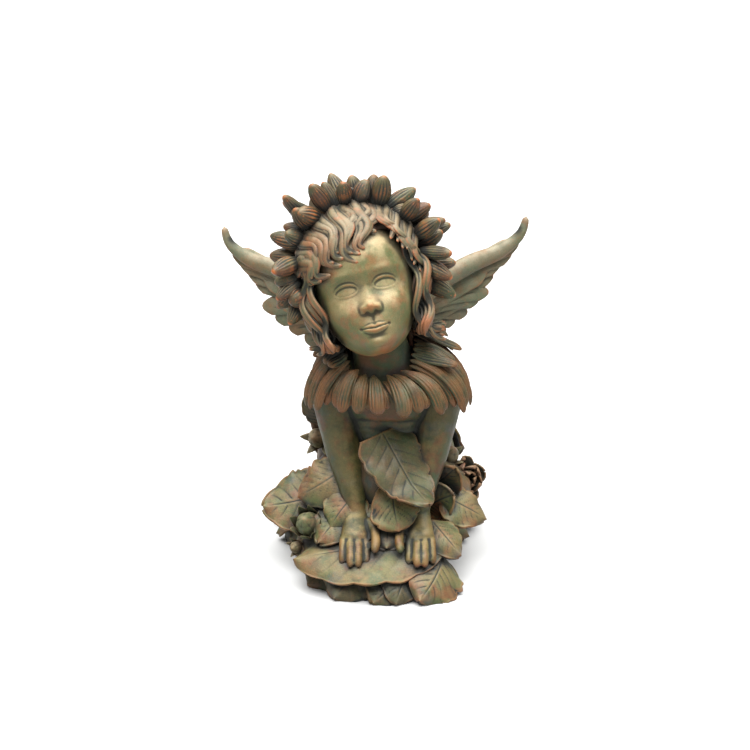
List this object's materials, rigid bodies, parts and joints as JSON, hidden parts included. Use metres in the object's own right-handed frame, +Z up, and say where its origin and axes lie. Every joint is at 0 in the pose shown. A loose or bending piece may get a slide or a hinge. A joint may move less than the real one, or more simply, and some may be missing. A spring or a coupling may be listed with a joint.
{
  "type": "fairy statue",
  "caption": "Cast garden figure of a winged girl kneeling on a bed of leaves, leaning on her straight arms, with a wreath and a collar of petals.",
  "frame": {"origin": "under the middle of the statue's bounding box, on the ground its flat underside rests on", "axes": "+Z up; the girl faces -Y; +X is to her left, the right of a viewer in front of her"},
  "size_m": [0.283, 0.2707, 0.3562],
  "materials": {
    "patinated_resin": "cold-cast resin painted as aged bronze: brown with green, copper on the edges and grey dust on the leaves, satin"
  },
  "bodies": {
    "root": {"fairy_statue": "patinated_resin"}
  },
  "joints": []
}
